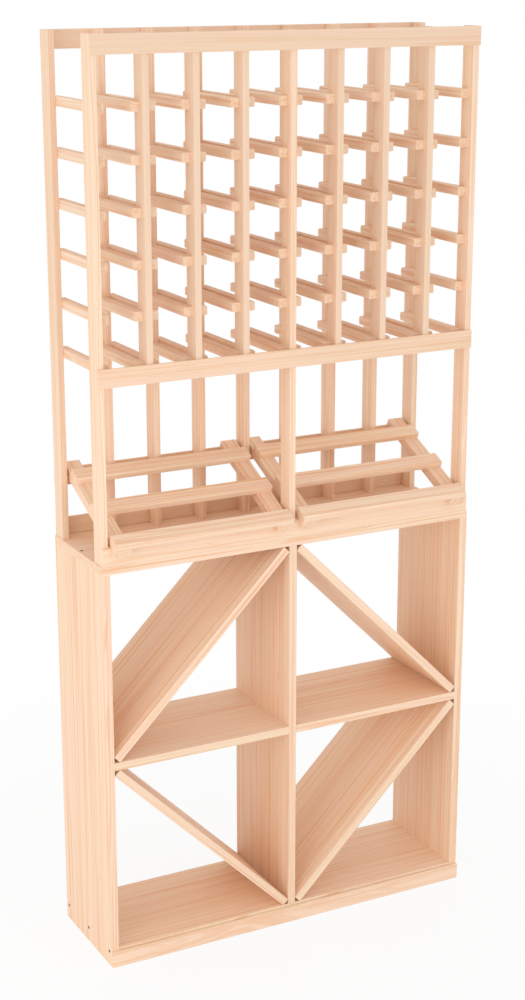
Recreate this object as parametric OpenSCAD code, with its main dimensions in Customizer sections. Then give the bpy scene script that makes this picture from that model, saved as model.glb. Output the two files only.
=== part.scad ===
// Tall wine rack: a grid of bottle columns between ladders, two sloping display trays
// below it, and a cabinet of diagonal bins at the foot.
// X runs across the rack, Y to its back and Z up. The origin is the centre of the base
// of the bounding box.

/* [Overall] */
// Height from the floor to the tops of the uprights
rack_h = 1829; // [1780:1:1950]
// Depth from the front of the front uprights to the back of the rear uprights
rack_d = 234; // [215:1:300]

/* [Uprights] */
// Number of bottle columns, half of them over each display tray
columns = 8; // [4:2:8]
// Distance from one ladder to the next
column_pitch = 101; // [98:0.5:125]
// Width of an upright, across the rack
upright_w = 13; // [10:0.5:16]
// Depth of an upright, front to back
upright_d = 38; // [32:1:44]

/* [Bottle rails] */
// Number of bottle levels
levels = 6; // [2:1:6]
// Height from one level to the next
level_pitch = 95.3; // [88:0.1:100]
// Side of a rail's square section
rail_t = 18; // [14:0.5:20]
// Radius of a rail's two long edges on the bottle's side
rail_edge_r = 3; // [1:0.25:5]
// Distance of a rail's ends from the outer faces of its two uprights
rail_setback = 13.5; // [4:0.5:20]
// Height from the top rails' upper faces to the tops of the uprights
bottle_headroom = 120; // [100:1:140]

/* [Boards] */
// Thickness of the boards across the front and back
board_t = 4.5; // [4:0.5:8]
// Height of the narrow boards
board_h = 36; // [30:1:42]
// Thickness of the base board
base_board_t = 6; // [4:0.5:10]
// Height of the base board
base_board_h = 33.5; // [28:0.5:40]
// Distance of the low front board's top edge below the top of the lowest rails
low_board_drop = 2.4; // [0:0.1:10]
// Height that the cabinet's front board stands above the deck
cabinet_board_rise = 36.5; // [30:0.5:42]

/* [Cabinet] */
// Height from the floor to the top of the deck
cabinet_h = 848; // [800:1:880]
// Thickness of the panels
panel_t = 16.5; // [14:0.5:19]
// Overhang of the cabinet's sides beyond the outer uprights
cabinet_overhang = 2.5; // [0:0.5:8]
// Height that the bottom panel shows above the base board
floor_reveal = 5; // [0:0.5:8]
// Gap between the base board and the bottom panel
floor_setback = 1.5; // [0.5:0.5:4]
// Thickness of the four diagonal boards
diagonal_t = 16.5; // [12:0.5:20]
// Depth of the housings that hold the ends of the shelves
housing_depth = 5; // [3:0.5:6]
// Distance of the housings' closed ends from the cabinet's front
housing_stop = 15; // [8:1:30]

/* [Display trays] */
// Height of the tray's rear board above the deck, to its top edge
tray_rest_rise = 138; // [120:0.5:160]
// Gap between a tray and the uprights at each side
tray_side_gap = 5; // [2:0.5:10]
// Width of a stringer, across the rack
stringer_w = 33.5; // [26:0.5:40]
// Thickness of a stringer, square to the slope
stringer_t = 18; // [16:0.5:22]
// Number of slats on a tray
slats = 3; // [2:1:4]
// Width of a slat, along the slope
slat_w = 33.5; // [28:0.5:38]
// Thickness of a slat
slat_t = 13; // [10:0.5:16]
// Radius of a slat's two upper edges
slat_edge_r = 3; // [1:0.25:4]
// Distance that a tray reaches ahead of the cabinet's front board, along its slope
tray_nose = 14.3; // [12:0.1:24]
// Distance that the stringers run on past the front of the rear board, along the slope
tray_tail = 5.5; // [3:0.5:6]
// Depth of the stringers' notches over the cabinet's front board
front_notch = 10.5; // [8:0.5:13]
// Depth of the stringers' notches over the rear board
rear_notch = 5.5; // [4:0.5:8]
// Gap between the last slat and the rear uprights
slat_back_gap = 5; // [2:0.5:10]

/* [Screws] */
// Diameter of a screw's shank
screw_d = 3.2; // [2.8:0.1:4]
// Diameter of a screw's head
screw_head_d = 6.5; // [5.5:0.1:8]
// Height of a screw's conical head
screw_head_h = 2.4; // [1.5:0.1:3.5]
// Length of a screw, head included
screw_l = 38; // [30:1:45]
// Distance of the first and last screw in a row from the panel's edges
screw_inset = 12; // [8:0.5:20]
// Number of screws in a row
screws_in_row = 3; // [2:1:4]

/* [Fits] */
// Clearance round a screw, on the radius
screw_fit = 0.1; // [0.05:0.05:0.3]
// Clearance at the ends of the shelves and at the trays' notches
joint_fit = 0.2; // [0.05:0.05:0.3]
// Clearance between a diagonal's corners and its bin
diagonal_fit = 0.2; // [0.05:0.05:0.3]

/* [Hidden] */
ladders = columns + 1;
middle_ladder = columns / 2 + 1;
rack_w = columns * column_pitch + upright_w;

// Cabinet
cabinet_w = rack_w + 2 * cabinet_overhang;
deck_z = cabinet_h - panel_t;
floor_z = base_board_h + floor_reveal;
bottom_panel_z = floor_z - panel_t;
bin_w = (cabinet_w - 3 * panel_t) / 2;
bin_h = (deck_z - floor_z - panel_t) / 2;
shelf_z = floor_z + bin_h;
bin_x = (bin_w + panel_t) / 2;
side_panel_x = (cabinet_w - panel_t) / 2;
diagonal_angle = fitting_angle(bin_w - diagonal_fit, bin_h - diagonal_fit, diagonal_t, 6);
diagonal_l = (bin_w - diagonal_fit - diagonal_t * sin(diagonal_angle)) / cos(diagonal_angle);

// Bottle grid
top_rail_z = rack_h - bottle_headroom - rail_t;
lowest_rail_z = top_rail_z - (levels - 1) * level_pitch;
low_board_z = lowest_rail_z + rail_t - low_board_drop - board_h;

// Trays: each stringer's lower edge is a line from its notch over the cabinet's front
// board to its notch over the rear board.
cabinet_board_top = cabinet_h + cabinet_board_rise;
tray_rest_z = cabinet_h + tray_rest_rise;
tray_seat_z = tray_rest_z - rear_notch;
tray_angle = atan2(tray_seat_z - (cabinet_board_top - front_notch), rack_d);
stringer_l = tray_nose + rack_d / cos(tray_angle) + tray_tail;
bay_w = columns / 2 * column_pitch - upright_w;
bay_x = columns / 4 * column_pitch;
tray_w = bay_w - 2 * tray_side_gap;
last_slat_end = (board_t - upright_d - slat_back_gap + stringer_t * sin(tray_angle)) / cos(tray_angle);
first_slat_start = tray_tail - stringer_l;
slat_pitch = (last_slat_end - slat_w - first_slat_start) / (slats - 1);
tray_t = stringer_t + slat_t;

// Depth positions. The trays reach furthest forward, the uprights furthest back.
tray_reach = -(rack_d - board_t + first_slat_start * cos(tray_angle) - tray_t * sin(tray_angle));
front_y = (tray_reach - rack_d) / 2;
rear_y = front_y + rack_d;
front_board_y = front_y - board_t;
rear_board_y = rear_y - board_t;

// The cabinet stands ahead of the uprights by a board's thickness, so that the board on its
// deck lies flush with the deck's front edge.
cabinet_front_y = front_board_y;
cabinet_d = rack_d + board_t;

// Cuts run this far past the faces that they open
cut_over = 1;
// Size of the cross recess in a screw's head
recess_l = 0.55 * screw_head_d;
recess_w = 0.12 * screw_head_d;
recess_depth = 0.5 * screw_head_h;
screw_tip_l = 2 * screw_d;
screw_tip_d = 0.25 * screw_d;

upright_wood = "BurlyWood";
rail_wood = "Tan";
board_wood = "Wheat";
panel_wood = "NavajoWhite";
tray_wood = "Moccasin";
screw_black = "DimGray";

// Angle at which a board of thickness t with square ends touches all four walls of a
// w by h opening, by Newton's method from the opening's own diagonal
function fitting_angle(w, h, t, steps) =
    steps == 0 ? atan2(h, w) :
    let (a = fitting_angle(w, h, t, steps - 1))
    a - (w * sin(a) - h * cos(a) + t * cos(2 * a))
      / (w * cos(a) + h * sin(a) - 2 * t * sin(2 * a)) * 180 / PI;

// Left face of a ladder's uprights
function ladder_x(i) = (i - middle_ladder) * column_pitch - upright_w / 2;

// Depth position of screw k in a row, counted from the front
function row_y(k) =
    cabinet_front_y + screw_inset + k * (cabinet_d - 2 * screw_inset) / (screws_in_row - 1);

// Only the outer and middle front uprights reach the deck; the others end at the low board.
function upright_foot(i) =
    i == 1 || i == middle_ladder || i == ladders ? cabinet_h : low_board_z;

// ---- Ladders ----

module front_upright(i) {
    foot = upright_foot(i);
    color(upright_wood)
        translate([ladder_x(i), front_y, foot])
            cube([upright_w, upright_d, rack_h - foot]);
}

// Housed at the back for the three rear boards
module rear_upright(i) {
    color(upright_wood)
        difference() {
            translate([ladder_x(i), rear_y - upright_d, cabinet_h])
                cube([upright_w, upright_d, rack_h - cabinet_h]);
            rear_housing(cabinet_h - cut_over, cabinet_h + board_h);
            rear_housing(tray_rest_z - board_h, tray_rest_z);
            rear_housing(rack_h - board_h, rack_h + cut_over);
        }
}

module rear_housing(low, high) {
    translate([-rack_w / 2 - cut_over, rear_board_y, low])
        cube([rack_w + 2 * cut_over, board_t + cut_over, high - low]);
}

// The rails on both sides of one ladder, or on the inner side of an outer one
module ladder_rails(i) {
    color(rail_wood)
        for (k = [0 : levels - 1]) {
            z = lowest_rail_z + k * level_pitch;
            if (i < ladders) {
                translate([ladder_x(i) + upright_w, 0, z]) rail();
            }
            if (i > 1) {
                translate([ladder_x(i), 0, z]) mirror([1, 0, 0]) rail();
            }
        }
}

// One rail, its flat side on the plane x = 0
module rail() {
    translate([0, rear_y - rail_setback, 0])
        rotate([90, 0, 0])
            linear_extrude(rack_d - 2 * rail_setback)
                rail_section();
}

module rail_section() {
    inner = rail_t - rail_edge_r;
    square([inner, rail_t]);
    translate([0, rail_edge_r]) square([rail_t, rail_t - 2 * rail_edge_r]);
    for (y = [rail_edge_r, inner]) {
        translate([inner, y]) circle(rail_edge_r, $fn = 32);
    }
}

// ---- Boards across the front and back ----

module cross_board(y, z, h) {
    color(board_wood)
        translate([-rack_w / 2, y, z])
            cube([rack_w, board_t, h]);
}

module top_front_board() cross_board(front_board_y, rack_h - board_h, board_h);

module low_front_board() cross_board(front_board_y, low_board_z, board_h);

// Stands on the deck, against the uprights
module cabinet_front_board() cross_board(front_board_y, cabinet_h, cabinet_board_rise);

module base_board() {
    color(board_wood)
        translate([-cabinet_w / 2, cabinet_front_y - base_board_t, 0])
            cube([cabinet_w, base_board_t, base_board_h]);
}

module top_rear_board() cross_board(rear_board_y, rack_h - board_h, board_h);

module tray_rear_board() cross_board(rear_board_y, tray_rest_z - board_h, board_h);

module low_rear_board() cross_board(rear_board_y, cabinet_h, board_h);

// ---- Cabinet ----

// The left panel; the right one is its mirror image
module side_panel() {
    color(panel_wood)
        difference() {
            translate([-cabinet_w / 2, cabinet_front_y, 0])
                cube([panel_t, cabinet_d, deck_z]);
            shelf_housing(-cabinet_w / 2 + panel_t);
            side_screw_row() screw_hole();
            deck_screw_row(-side_panel_x) screw_hole();
        }
}

module right_side_panel() mirror([1, 0, 0]) side_panel();

// Groove for a shelf's end in the panel face at x, open at the back
module shelf_housing(x) {
    depth = housing_depth + joint_fit;
    translate([x - depth, cabinet_front_y + housing_stop - joint_fit, shelf_z])
        cube([2 * depth, cabinet_d, panel_t]);
}

module divider() {
    color(panel_wood)
        difference() {
            translate([-panel_t / 2, cabinet_front_y, floor_z])
                cube([panel_t, cabinet_d, deck_z - floor_z]);
            shelf_housing(-panel_t / 2);
            shelf_housing(panel_t / 2);
            divider_screw_row() screw_hole();
            deck_screw_row(0) screw_hole();
        }
}

module deck() {
    color(panel_wood)
        difference() {
            translate([-cabinet_w / 2, cabinet_front_y, deck_z])
                cube([cabinet_w, cabinet_d, panel_t]);
            for (x = [-side_panel_x, 0, side_panel_x]) {
                deck_screw_row(x) screw_hole();
            }
        }
}

module bottom_panel() {
    inner_w = cabinet_w - 2 * panel_t;
    color(panel_wood)
        difference() {
            translate([-inner_w / 2, cabinet_front_y + floor_setback, bottom_panel_z])
                cube([inner_w, cabinet_d - floor_setback, panel_t]);
            side_screw_row() screw_hole();
            mirror([1, 0, 0]) side_screw_row() screw_hole();
            divider_screw_row() screw_hole();
        }
}

// Shelf half between the left panel and the divider, with a tongue at each end
module shelf() {
    color(panel_wood)
        translate([-bin_x - bin_w / 2, cabinet_front_y, shelf_z]) {
            cube([bin_w, cabinet_d, panel_t]);
            translate([-housing_depth, housing_stop, 0])
                cube([bin_w + 2 * housing_depth, cabinet_d - housing_stop, panel_t]);
        }
}

module right_shelf() mirror([1, 0, 0]) shelf();

// Square-cut board across the bin whose lower face is at z, rising away from the rack's
// middle for a positive lean and towards it for a negative one
module left_diagonal(z, lean) {
    color(panel_wood)
        translate([-bin_x, cabinet_front_y + cabinet_d / 2, z + bin_h / 2])
            rotate([0, -lean * diagonal_angle, 0])
                cube([diagonal_l, cabinet_d, diagonal_t], center = true);
}

module upper_left_diagonal() left_diagonal(shelf_z + panel_t, 1);

module lower_left_diagonal() left_diagonal(floor_z, -1);

module upper_right_diagonal() mirror([1, 0, 0]) upper_left_diagonal();

module lower_right_diagonal() mirror([1, 0, 0]) lower_left_diagonal();

// ---- Display trays ----

// Places a child in the tray's sloping frame: X across from the tray's middle, Y up the
// slope from the front of the rear board, Z square to the slope from the stringers' underside
module on_slope(side) {
    translate([side * bay_x, rear_board_y, tray_seat_z])
        rotate([tray_angle, 0, 0])
            children();
}

// side is -1 for the left tray, edge is -1 for its left stringer
module stringer(side, edge) {
    color(tray_wood)
        difference() {
            on_slope(side)
                translate([edge * (tray_w - stringer_w) / 2 - stringer_w / 2, first_slat_start, 0])
                    cube([stringer_w, stringer_l, stringer_t]);
            stringer_notch(front_board_y, cabinet_board_top);
            stringer_notch(rear_board_y, tray_rest_z);
        }
}

// Clears a board whose front is at y and whose top edge is at z
module stringer_notch(y, z) {
    notch_l = upright_d;
    translate([-rack_w / 2, y - joint_fit, z - board_h])
        cube([rack_w, notch_l, board_h]);
}

module slat(side, i) {
    color(tray_wood)
        on_slope(side)
            translate([-tray_w / 2, first_slat_start + (i - 1) * slat_pitch, stringer_t])
                rotate([90, 0, 90])
                    linear_extrude(tray_w)
                        slat_section();
}

// A slat's width along X and its thickness along Y, its upper edges rounded
module slat_section() {
    square([slat_w, slat_t - slat_edge_r]);
    translate([slat_edge_r, 0]) square([slat_w - 2 * slat_edge_r, slat_t]);
    for (x = [slat_edge_r, slat_w - slat_edge_r]) {
        translate([x, slat_t - slat_edge_r]) circle(slat_edge_r, $fn = 32);
    }
}

// ---- Screws ----

// Countersunk screw pointing down, the top of its head at the origin
module screw() {
    color(screw_black)
        difference() {
            screw_body(0);
            for (turn = [0, 90]) {
                rotate([0, 0, turn])
                    translate([-recess_l / 2, -recess_w / 2, -recess_depth])
                        cube([recess_l, recess_w, recess_depth + cut_over]);
            }
        }
}

module screw_body(fit) {
    translate([0, 0, -screw_head_h])
        cylinder(h = screw_head_h, d1 = screw_d + 2 * fit, d2 = screw_head_d + 2 * fit, $fn = 48);
    translate([0, 0, screw_tip_l - screw_l])
        cylinder(h = screw_l - screw_tip_l - screw_head_h, d = screw_d + 2 * fit, $fn = 48);
    translate([0, 0, -screw_l])
        cylinder(h = screw_tip_l, d1 = screw_tip_d + 2 * fit, d2 = screw_d + 2 * fit, $fn = 48);
}

module screw_hole() {
    screw_body(screw_fit);
    cylinder(h = cut_over, d = screw_head_d + 2 * screw_fit, $fn = 48);
}

// Through the left panel into the bottom panel's edge
module side_screw_row() {
    for (k = [0 : screws_in_row - 1]) {
        translate([-cabinet_w / 2, row_y(k), bottom_panel_z + panel_t / 2])
            rotate([0, -90, 0])
                children();
    }
}

// Down through the deck into the panel whose middle is at x
module deck_screw_row(x) {
    for (k = [0 : screws_in_row - 1]) {
        translate([x, row_y(k), cabinet_h]) children();
    }
}

// Up through the bottom panel into the divider's foot
module divider_screw_row() {
    for (k = [0 : screws_in_row - 1]) {
        translate([0, row_y(k), bottom_panel_z])
            rotate([180, 0, 0])
                children();
    }
}

module side_screws() {
    side_screw_row() screw();
    mirror([1, 0, 0]) side_screw_row() screw();
}

module deck_screws() {
    for (x = [-side_panel_x, 0, side_panel_x]) {
        deck_screw_row(x) screw();
    }
}

module divider_screws() divider_screw_row() screw();

for (i = [1 : ladders]) {
    front_upright(i);
    rear_upright(i);
    ladder_rails(i);
}
top_front_board();
low_front_board();
cabinet_front_board();
base_board();
top_rear_board();
tray_rear_board();
low_rear_board();
side_panel();  // left_side_panel
right_side_panel();
divider();
deck();
bottom_panel();
shelf();  // left_shelf
right_shelf();
upper_left_diagonal();
upper_right_diagonal();
lower_left_diagonal();
lower_right_diagonal();
stringer(-1, -1);  // left_tray_left_stringer
stringer(-1, 1);  // left_tray_right_stringer
stringer(1, -1);  // right_tray_left_stringer
stringer(1, 1);  // right_tray_right_stringer
for (i = [1 : slats]) {
    slat(-1, i);
    slat(1, i);
}
side_screws();
deck_screws();
divider_screws();
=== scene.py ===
"""The looks of a tall pine wine rack: every board is a copy of its CAD solid with eased edges
and solid wood grain that runs along it, and the screws have a black finish."""
import math
import random

import bmesh
import bpy
import numpy as np
from mathutils import Matrix, Vector

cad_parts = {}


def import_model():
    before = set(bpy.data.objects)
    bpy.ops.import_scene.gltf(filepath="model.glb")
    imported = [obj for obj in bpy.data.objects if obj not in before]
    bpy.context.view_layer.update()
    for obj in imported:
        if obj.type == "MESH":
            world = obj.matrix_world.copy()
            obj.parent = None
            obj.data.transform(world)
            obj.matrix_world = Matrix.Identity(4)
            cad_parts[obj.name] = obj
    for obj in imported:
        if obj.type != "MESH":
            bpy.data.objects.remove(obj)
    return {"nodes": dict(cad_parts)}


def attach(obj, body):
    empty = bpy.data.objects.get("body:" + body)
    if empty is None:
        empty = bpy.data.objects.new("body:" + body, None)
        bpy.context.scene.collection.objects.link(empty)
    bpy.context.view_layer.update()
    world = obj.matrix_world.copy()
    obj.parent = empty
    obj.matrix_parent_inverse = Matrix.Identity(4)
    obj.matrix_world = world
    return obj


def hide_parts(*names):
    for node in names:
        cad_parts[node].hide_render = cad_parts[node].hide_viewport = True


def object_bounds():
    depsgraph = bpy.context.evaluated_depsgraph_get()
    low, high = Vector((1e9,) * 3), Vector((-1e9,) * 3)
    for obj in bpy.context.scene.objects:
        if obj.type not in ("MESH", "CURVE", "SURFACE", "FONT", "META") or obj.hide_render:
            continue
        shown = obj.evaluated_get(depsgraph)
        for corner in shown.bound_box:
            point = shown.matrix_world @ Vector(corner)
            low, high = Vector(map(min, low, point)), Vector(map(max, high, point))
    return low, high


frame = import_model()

CAD_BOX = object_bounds()
MM = 0.001

# The camera's place, how far it looks to the right of +Y and down, and its lens on a 36 mm sensor
CAMERA_PLACE = Vector((-1.6981, -3.1961, 1.9628))
CAMERA_RIGHT = math.radians(27.79)
CAMERA_DOWN = math.radians(16.383)
CAMERA_LENS = 66.88
SENSOR = 36.0
LAMP_DISTANCE = 2.6

# Edges sharper than this are eased; shorter ones belong to a screw hole and stay
SHARP = math.radians(40)
SHORTEST_EDGE = 2 * MM

# How far the saw-cut ends of the boards are eased
END_EASE = 0.2 * MM

# Wood colours, linear: the pale early wood, and what late wood and resin streaks turn it to
PINES = {
    "upright_pine": {"pale": (0.950, 0.755, 0.585), "late": (0.84, 0.47, 0.27), "rings": 0.75, "streak": 0.85, "fine": 1.3},
    "rail_pine": {"pale": (0.905, 0.705, 0.540), "late": (0.81, 0.46, 0.27), "rings": 0.75, "streak": 0.90, "fine": 1.2},
    "board_pine": {"pale": (0.940, 0.720, 0.545), "late": (0.83, 0.44, 0.23), "rings": 0.60, "streak": 0.90, "fine": 1.2},
    "panel_pine": {"pale": (0.940, 0.730, 0.560), "late": (0.84, 0.46, 0.26), "rings": 0.80, "streak": 1.00, "fine": 1.6},
    "tray_pine": {"pale": (0.945, 0.730, 0.560), "late": (0.83, 0.46, 0.26), "rings": 0.80, "streak": 0.95, "fine": 1.2},
}

# How much darker (up to 1) or paler (down to -1) than most each board is drawn. The short front uprights are drawn
# darker as painted shade: the shade of bottles beside them, which are not in the scene.
TONES_AND_SHADE = {
    "top_front_board": 0.9,
    "low_front_board": 0.2,
    "cabinet_front_board": -0.9,
    "base_board": -0.4,
    "rear_board": 0.7,
    "front_upright_1": -0.6,
    "front_upright_5": -0.6,
    "front_upright_9": -1.0,
    # Painted shade: the short front uprights are drawn darker for the shade of bottles beside them
    "front_upright": 1.1,
    "rear_upright": 0.3,
    "stringer": 0.4,
    "left_shelf": 0.5,
    "right_side_panel": -0.6,
    "right_tray_slat_1": -0.8,
}

# Boards cut so that the rings run across their face and show as lines
QUARTER_SAWN = ("low_front_board", "right_shelf")


# ---- Shader graphs ----


class Graph:
    """Adds nodes to one node tree. A value may be a number, a vector or another node's output."""

    def __init__(self, tree):
        self.tree = tree

    def put(self, socket, value):
        if isinstance(value, bpy.types.NodeSocket):
            self.tree.links.new(value, socket)
        else:
            socket.default_value = value

    def node(self, kind, inputs=None, **settings):
        made = self.tree.nodes.new(kind)
        for name, value in settings.items():
            setattr(made, name, value)
        for name, value in (inputs or {}).items():
            self.put(made.inputs[name], value)
        return made

    def math(self, operation, *values):
        made = self.node("ShaderNodeMath", operation=operation)
        for socket, value in zip(made.inputs, values):
            self.put(socket, value)
        return made.outputs[0]

    def vector(self, operation, *values):
        made = self.node("ShaderNodeVectorMath", operation=operation)
        for socket, value in zip(made.inputs, values):
            self.put(socket, value)
        return made

    def noise(self, place, stretch, detail=2.0, roughness=0.5):
        """Noise from 0 to 1, its features 1 / stretch long in each direction."""
        scaled = self.vector("MULTIPLY", place, stretch).outputs[0]
        return self.node(
            "ShaderNodeTexNoise",
            {"Vector": scaled, "Scale": 1.0, "Detail": detail, "Roughness": roughness},
        )

    def ramp(self, value, low, high, start=0.0, end=1.0):
        """A smooth step from start to end as value goes from low to high."""
        made = self.node("ShaderNodeMapRange", interpolation_type="SMOOTHSTEP")
        for socket, number in zip(made.inputs, (value, low, high, start, end)):
            self.put(socket, number)
        return made.outputs[0]

    def mix(self, factor, first, second):
        made = self.node("ShaderNodeMix", data_type="RGBA")
        self.put(made.inputs[0], factor)
        self.put(made.inputs[6], first)
        self.put(made.inputs[7], second)
        return made.outputs[2]

    def attribute(self, name, output):
        return self.node("ShaderNodeAttribute", attribute_name=name).outputs[output]


def colour(rgb):
    return (*rgb, 1.0)


# ---- Wood ----


def pine_group():
    """Solid pine read at the "wood" attribute: X and Y across the trunk from its pith, Z along it."""
    tree = bpy.data.node_groups.new("solid_pine", "ShaderNodeTree")
    for name in ("Late", "Streak", "Fibre", "Hue", "Tone_and_shade", "Wear"):
        tree.interface.new_socket(name, in_out="OUTPUT", socket_type="NodeSocketFloat")
    g = Graph(tree)
    wood = g.attribute("wood", "Vector")

    # Rings: the distance from the pith, bent by slow noise, with wider and narrower years
    bend = g.noise(wood, (9.0, 9.0, 1.3), detail=2.0).outputs["Color"]
    bend = g.vector("SUBTRACT", bend, (0.5, 0.5, 0.5)).outputs[0]
    bend = g.vector("MULTIPLY", bend, (0.026, 0.026, 0.0)).outputs[0]
    across = g.vector("MULTIPLY", g.vector("ADD", wood, bend).outputs[0], (1.0, 1.0, 0.0))
    radius = g.vector("LENGTH", across.outputs[0]).outputs["Value"]
    years = g.math("MULTIPLY", radius, 1 / (4.5 * MM))
    uneven = g.node("ShaderNodeTexNoise", {"W": g.math("MULTIPLY", radius, 70.0)}, noise_dimensions="1D")
    years = g.math("ADD", years, g.math("MULTIPLY", uneven.outputs[0], 3.0))
    season = g.math("FRACT", years)
    growth = g.ramp(season, 0.35, 0.85)
    late = g.math("MULTIPLY", growth, g.ramp(season, 0.90, 1.0, 1.0, 0.0))
    strength = g.node("ShaderNodeTexNoise", {"W": g.math("MULTIPLY", radius, 38.0)}, noise_dimensions="1D")
    late = g.math("MULTIPLY", late, g.ramp(strength.outputs[0], 0.30, 0.70, 0.15, 1.0))

    # Resin streaks, fibres and the slow change of tone along a board
    broad = g.noise(wood, (130.0, 130.0, 1.4), detail=3.0, roughness=0.60).outputs[0]
    fine = g.noise(wood, (340.0, 340.0, 2.6), detail=2.0, roughness=0.60).outputs[0]
    streak = g.math("ADD", g.math("MULTIPLY", broad, 0.60), g.math("MULTIPLY", fine, 0.40))
    streak = g.ramp(streak, 0.49, 0.62)
    fibre = g.noise(wood, (620.0, 620.0, 14.0), detail=3.0, roughness=0.6).outputs[0]
    cloud = g.noise(wood, (14.0, 14.0, 3.5), detail=2.0).outputs[0]
    hue = g.ramp(g.noise(wood, (90.0, 90.0, 1.0), detail=2.0).outputs[0], 0.38, 0.62)
    # Painted shade on the short front uprights comes in through this attribute, with slow noise added
    tone_and_shade = g.math("ADD", g.attribute("tone_and_shade", "Fac"), g.math("MULTIPLY", g.math("SUBTRACT", cloud, 0.5), 0.9))

    # Wear: near an eased edge, broken up by noise
    local = g.vector("ABSOLUTE", g.attribute("local", "Vector")).outputs[0]
    inset = g.vector("SUBTRACT", g.attribute("half", "Vector"), local).outputs[0]
    parts = g.node("ShaderNodeSeparateXYZ", {"Vector": inset})
    x, y, z = parts.outputs
    lowest = g.math("MINIMUM", x, g.math("MINIMUM", y, z))
    highest = g.math("MAXIMUM", x, g.math("MAXIMUM", y, z))
    total = g.math("ADD", x, g.math("ADD", y, z))
    middle = g.math("SUBTRACT", g.math("SUBTRACT", total, lowest), highest)
    rough_edge = g.noise(wood, (160.0, 160.0, 60.0), detail=3.0, roughness=0.6).outputs[0]
    reach = g.math("MULTIPLY", rough_edge, 5.0 * MM)
    wear = g.ramp(g.math("SUBTRACT", middle, reach), -2.0 * MM, 0.5 * MM, 1.0, 0.0)

    ends = g.node("NodeGroupOutput")
    for name, value in zip(("Late", "Streak", "Fibre", "Hue", "Tone_and_shade", "Wear"), (late, streak, fibre, hue, tone_and_shade, wear)):
        g.put(ends.inputs[name], value)
    return tree


def pine(slot, group):
    """Bare planed pine for one of the record's slots."""
    look = PINES[slot]
    material = bpy.data.materials.new("bare_" + slot)
    material.use_nodes = True
    g = Graph(material.node_tree)
    shader = material.node_tree.nodes["Principled BSDF"]
    grain = g.node("ShaderNodeGroup", node_tree=group).outputs
    end = g.attribute("end_grain", "Fac")

    pale, late = colour(look["pale"]), colour(look["late"])
    streaked = (0.86, 0.50, 0.28, 1.0)
    # The dull tan that darker boards turn to, also the colour of the painted shade on the short front uprights
    dull_and_shade = (0.795, 0.580, 0.420, 1.0)
    tinge = g.mix(grain["Hue"], (0.950, 0.755, 0.520, 1.0), (0.955, 0.670, 0.525, 1.0))
    shade = g.mix(0.5, pale, tinge)
    plain = g.ramp(grain["Tone_and_shade"], 0.6, 1.1, 1.0, 0.45)
    rings = g.math("MULTIPLY", g.math("MULTIPLY", grain["Late"], look["rings"]), plain)
    streaks = g.math("MULTIPLY", g.math("MULTIPLY", grain["Streak"], look["streak"]), plain)
    shade = g.mix(rings, shade, late)
    shade = g.mix(streaks, shade, streaked)
    shade = g.mix(g.ramp(grain["Fibre"], 0.50, 0.75, 0.0, 0.30), shade, late)
    # Darker boards turn towards the dull tan; on the short front uprights this is painted shade
    shade = g.mix(g.ramp(grain["Tone_and_shade"], 0.0, 1.0, 0.0, 0.50), shade, dull_and_shade)
    shade = g.mix(g.ramp(grain["Tone_and_shade"], 0.0, -1.0, 0.0, 0.30), shade, (0.955, 0.73, 0.545, 1.0))
    shade = g.mix(g.math("MULTIPLY", grain["Wear"], 0.20), shade, (0.955, 0.735, 0.55, 1.0))
    shade = g.mix(g.math("MULTIPLY", end, 0.08), shade, (0.62, 0.36, 0.21, 1.0))
    g.put(shader.inputs["Base Color"], shade)

    rough = g.math("ADD", 0.50, g.math("MULTIPLY", grain["Fibre"], 0.16))
    rough = g.math("ADD", rough, g.math("MULTIPLY", grain["Late"], -0.06))
    rough = g.math("ADD", rough, g.math("MULTIPLY", end, 0.12))
    g.put(shader.inputs["Roughness"], rough)
    shader.inputs["Specular IOR Level"].default_value = 0.35

    relief = g.math("ADD", g.math("MULTIPLY", grain["Fibre"], 0.55), g.math("MULTIPLY", grain["Late"], 0.45))
    bump = g.node("ShaderNodeBump", {"Height": relief, "Strength": 0.35, "Distance": 0.12 * MM})
    g.put(shader.inputs["Normal"], bump.outputs[0])
    return material


def black_steel():
    """The screws' matt black phosphate coat, a little worn in places."""
    material = bpy.data.materials.new("black_steel")
    material.use_nodes = True
    g = Graph(material.node_tree)
    shader = material.node_tree.nodes["Principled BSDF"]
    place = g.node("ShaderNodeTexCoord").outputs["Object"]
    grit = g.noise(place, (2600.0, 2600.0, 2600.0), detail=4.0, roughness=0.65).outputs[0]
    black, worn = (0.010, 0.009, 0.008, 1.0), (0.036, 0.032, 0.029, 1.0)
    g.put(shader.inputs["Base Color"], g.mix(g.ramp(grit, 0.35, 0.80), black, worn))
    g.put(shader.inputs["Roughness"], g.ramp(grit, 0.30, 0.75, 0.55, 0.75))
    shader.inputs["Specular IOR Level"].default_value = 0.15
    bump = g.node("ShaderNodeBump", {"Height": grit, "Strength": 0.3, "Distance": 0.05 * MM})
    g.put(shader.inputs["Normal"], bump.outputs[0])
    return material


# ---- Boards ----


def clean_copy(node):
    """The node's solid as a bmesh with whole flat faces in place of triangles."""
    mesh = bmesh.new()
    mesh.from_mesh(frame["nodes"][node].data)
    bmesh.ops.remove_doubles(mesh, verts=mesh.verts, dist=0.001 * MM)
    bmesh.ops.dissolve_limit(mesh, angle_limit=math.radians(0.5), verts=mesh.verts, edges=mesh.edges)
    return mesh


def is_arris(edge, shortest):
    return (
        len(edge.link_faces) == 2
        and edge.is_convex
        and edge.calc_face_angle() > SHARP
        and edge.calc_length() > shortest
    )


def lies_across(edge, grain):
    """Whether an edge is cut across the grain, as a saw leaves it: square and crisp."""
    return abs((edge.verts[1].co - edge.verts[0].co).normalized().dot(grain)) < 0.5


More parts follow.
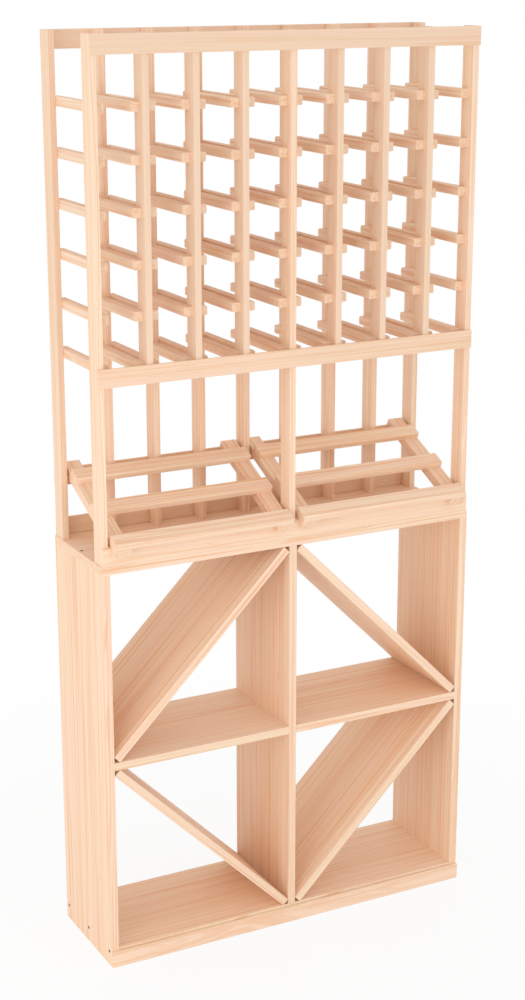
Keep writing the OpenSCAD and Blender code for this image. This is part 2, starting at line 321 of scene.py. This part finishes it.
def end_arrises(mesh, grain):
    """The edges around the boards' ends."""
    reach = [v.co.dot(grain) for v in mesh.verts]
    ends = (min(reach), max(reach))
    return [
        e
        for e in mesh.edges
        if is_arris(e, 0.0)
        and any(all(abs(v.co.dot(grain) - end) < 0.01 * MM for v in e.verts) for end in ends)
    ]


def ease_edges(mesh, edges, width):
    bmesh.ops.bevel(
        mesh,
        geom=edges,
        offset=width,
        offset_type="OFFSET",
        segments=2,
        profile=0.5,
        affect="EDGES",
        clamp_overlap=True,
    )


def islands(mesh):
    """The separate solids of a bmesh, as lists of vertices."""
    left = set(mesh.verts)
    found = []
    while left:
        solid = []
        waiting = [left.pop()]
        while waiting:
            vertex = waiting.pop()
            solid.append(vertex)
            near = {edge.other_vert(vertex) for edge in vertex.link_edges} & left
            left -= near
            waiting.extend(near)
        found.append(solid)
    found.sort(key=lambda vertices: tuple(round(min(v.co[k] for v in vertices), 4) for k in range(3)))
    return found


def upward(vector):
    """The vector, turned so that its largest part is positive."""
    largest = max(vector, key=abs)
    return -vector if largest < 0 else vector.copy()


def board_axes(vertices):
    """Unit vectors through a solid's thickness, across its width and along its grain."""
    edges = {e for v in vertices for e in v.link_edges if len(e.link_faces) == 2}
    long_edge = max((e for e in edges if e.calc_face_angle() > SHARP), key=lambda e: e.calc_length())
    along = upward((long_edge.verts[1].co - long_edge.verts[0].co).normalized())
    faces = {f for v in vertices for f in v.link_faces if abs(f.normal.dot(along)) < 0.1}
    through = upward(max(faces, key=lambda f: f.calc_area()).normal)
    through = (through - along * through.dot(along)).normalized()
    return through, along.cross(through), along


def trunk_place(rng, quarter_sawn):
    """Where a board's middle lies in the trunk: its distance from the pith, and the pith's direction."""
    distance = rng.uniform(0.07, 0.16)
    flat_or_quarter = rng.choice((0.0, math.pi / 2))
    turn = (math.pi / 2 if quarter_sawn else flat_or_quarter) + rng.uniform(-0.5, 0.5)
    return Vector((distance * math.cos(turn), distance * math.sin(turn), rng.uniform(-20, 20)))


def grain_attributes(mesh, node, slot):
    """Gives every solid of a bmesh its own place in a trunk, how dark it is drawn, with painted shade on the short
    front uprights, and its end grain.
    """
    wood = mesh.verts.layers.float_vector.new("wood")
    local = mesh.verts.layers.float_vector.new("local")
    half = mesh.verts.layers.float_vector.new("half")
    tone_and_shade = mesh.verts.layers.float.new("tone_and_shade")
    end_grain = mesh.faces.layers.float.new("end_grain")
    rng = random.Random(node)
    fineness = Vector((PINES[slot]["fine"], PINES[slot]["fine"], 1.0))
    # The board's listed darkness; on the short front uprights it is painted shade
    usual_tone_and_shade = next((TONES_AND_SHADE[part] for part in TONES_AND_SHADE if part in node), 0.0)
    for vertices in islands(mesh):
        axes = Matrix(board_axes(vertices))
        inside = [axes @ v.co for v in vertices]
        low = Vector(min(p[k] for p in inside) for k in range(3))
        high = Vector(max(p[k] for p in inside) for k in range(3))
        middle = (low + high) / 2
        place = trunk_place(rng, node in QUARTER_SAWN)
        solid_tone_and_shade = usual_tone_and_shade + rng.uniform(-0.35, 0.35)
        for vertex, point in zip(vertices, inside):
            vertex[wood] = (point - middle) * fineness + place
            vertex[local] = point - middle
            vertex[half] = (high - low) / 2
            vertex[tone_and_shade] = solid_tone_and_shade
        for face in {f for v in vertices for f in v.link_faces}:
            face[end_grain] = 1.0 if abs(face.normal.dot(axes[2])) > 0.85 else 0.0


def board(node, slot, ease, shortest=SHORTEST_EDGE):
    """The wooden piece that stands for a CAD node."""
    mesh = clean_copy(node)
    grain = board_axes(islands(mesh)[0])[2]
    arrises = [e for e in mesh.edges if is_arris(e, shortest)]
    ease_edges(mesh, [e for e in arrises if not lies_across(e, grain)], ease)
    ease_edges(mesh, end_arrises(mesh, grain), END_EASE)
    mesh.normal_update()
    grain_attributes(mesh, node, slot)
    data = bpy.data.meshes.new(node + "_wood")
    mesh.to_mesh(data)
    mesh.free()
    data.materials.append(woods[slot])
    piece = bpy.data.objects.new(node + "_wood", data)
    bpy.context.scene.collection.objects.link(piece)
    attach(piece, "root")
    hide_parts(node)
    return piece


# ---- Stage, light and camera ----


def camera_ray(g):
    """1 for what the camera sees, also by way of a gloss or through glass."""
    path = g.node("ShaderNodeLightPath").outputs
    seen = g.math("MAXIMUM", path["Is Camera Ray"], path["Is Glossy Ray"])
    return g.math("MAXIMUM", seen, path["Is Transmission Ray"])


def world(fill):
    """A white backdrop, and an even fill light from all sides."""
    made = bpy.data.worlds.new("studio")
    made.use_nodes = True
    made.node_tree.nodes.clear()
    g = Graph(made.node_tree)
    light = g.node("ShaderNodeBackground", {"Color": (1.0, 1.0, 1.0, 1.0), "Strength": fill})
    shown = g.node("ShaderNodeBackground", {"Color": (1.0, 1.0, 1.0, 1.0), "Strength": 1.0})
    mixed = g.node("ShaderNodeMixShader", {0: camera_ray(g)})
    g.put(mixed.inputs[1], light.outputs[0])
    g.put(mixed.inputs[2], shown.outputs[0])
    ends = g.node("ShaderNodeOutputWorld")
    g.put(ends.inputs["Surface"], mixed.outputs[0])
    bpy.context.scene.world = made


def floor(radius, near, far):
    """A pale round floor that keeps the rack's shadow and fades to the white backdrop."""
    mesh = bmesh.new()
    bmesh.ops.create_circle(mesh, cap_ends=True, segments=96, radius=radius)
    data = bpy.data.meshes.new("floor")
    mesh.to_mesh(data)
    mesh.free()
    made = bpy.data.objects.new("floor", data)
    bpy.context.scene.collection.objects.link(made)
    material = bpy.data.materials.new("pale_floor")
    material.use_nodes = True
    g = Graph(material.node_tree)
    shader = material.node_tree.nodes["Principled BSDF"]
    shader.inputs["Base Color"].default_value = (0.90, 0.90, 0.89, 1.0)
    shader.inputs["Roughness"].default_value = 0.8
    shader.inputs["Specular IOR Level"].default_value = 0.1
    white = g.node("ShaderNodeEmission", {"Color": (1.0, 1.0, 1.0, 1.0), "Strength": 1.0})
    place = g.node("ShaderNodeTexCoord").outputs["Object"]
    away = g.vector("LENGTH", place).outputs["Value"]
    share = g.math("MULTIPLY", camera_ray(g), g.ramp(away, near, far, 0.87, 1.0))
    mixed = g.node("ShaderNodeMixShader", {0: share})
    g.put(mixed.inputs[1], shader.outputs[0])
    g.put(mixed.inputs[2], white.outputs[0])
    g.put(material.node_tree.nodes["Material Output"].inputs["Surface"], mixed.outputs[0])
    data.materials.append(material)


def lamp(name, left, up, size, power, tint):
    """A soft square lamp that shines at the rack's middle, turned left from straight ahead and raised, in degrees."""
    light = bpy.data.lights.new(name, "AREA")
    light.size = size
    light.energy = power
    light.color = tint
    made = bpy.data.objects.new(name, light)
    bpy.context.scene.collection.objects.link(made)
    turn, rise = math.radians(left), math.radians(up)
    away = Vector((-math.sin(turn) * math.cos(rise), -math.cos(turn) * math.cos(rise), math.sin(rise)))
    made.location = Vector((0.0, 0.0, CAD_BOX[1][2] / 2)) + LAMP_DISTANCE * away
    made.rotation_euler = (-away).to_track_quat("-Z", "Y").to_euler()


def camera():
    data = bpy.data.cameras.new("camera")
    data.lens = CAMERA_LENS
    data.sensor_width = SENSOR
    made = bpy.data.objects.new("camera", data)
    bpy.context.scene.collection.objects.link(made)
    made.location = CAMERA_PLACE
    made.rotation_euler = (math.pi / 2 - CAMERA_DOWN, 0.0, -CAMERA_RIGHT)
    bpy.context.scene.camera = made


# ---- The scene ----

group = pine_group()
woods = {slot: pine(slot, group) for slot in PINES}
steel = black_steel()

SLOT_OF = (
    ("upright", "upright_pine"),
    ("ladder_rails", "rail_pine"),
    ("board", "board_pine"),
    ("tray", "tray_pine"),
)
for name in sorted(frame["nodes"]):
    if name.endswith("screws"):
        slots = frame["nodes"][name].data.materials
        slots.clear()
        slots.append(steel)
        continue
    slot = next((s for part, s in SLOT_OF if part in name), "panel_pine")
    rounded = "rails" in name or "slat" in name
    board(name, slot, ease=0.5 * MM if rounded or slot == "panel_pine" else 0.9 * MM, shortest=0.0 if rounded else SHORTEST_EDGE)

world(fill=0.89)
floor(radius=8.0, near=0.5, far=1.8)
lamp("key", left=66, up=0, size=2.0, power=14.5, tint=(1.0, 1.0, 1.0))
lamp("front_fill", left=0, up=2, size=2.0, power=7.5, tint=(1.0, 1.0, 1.0))
camera()
bpy.context.scene.view_settings.view_transform = "Standard"
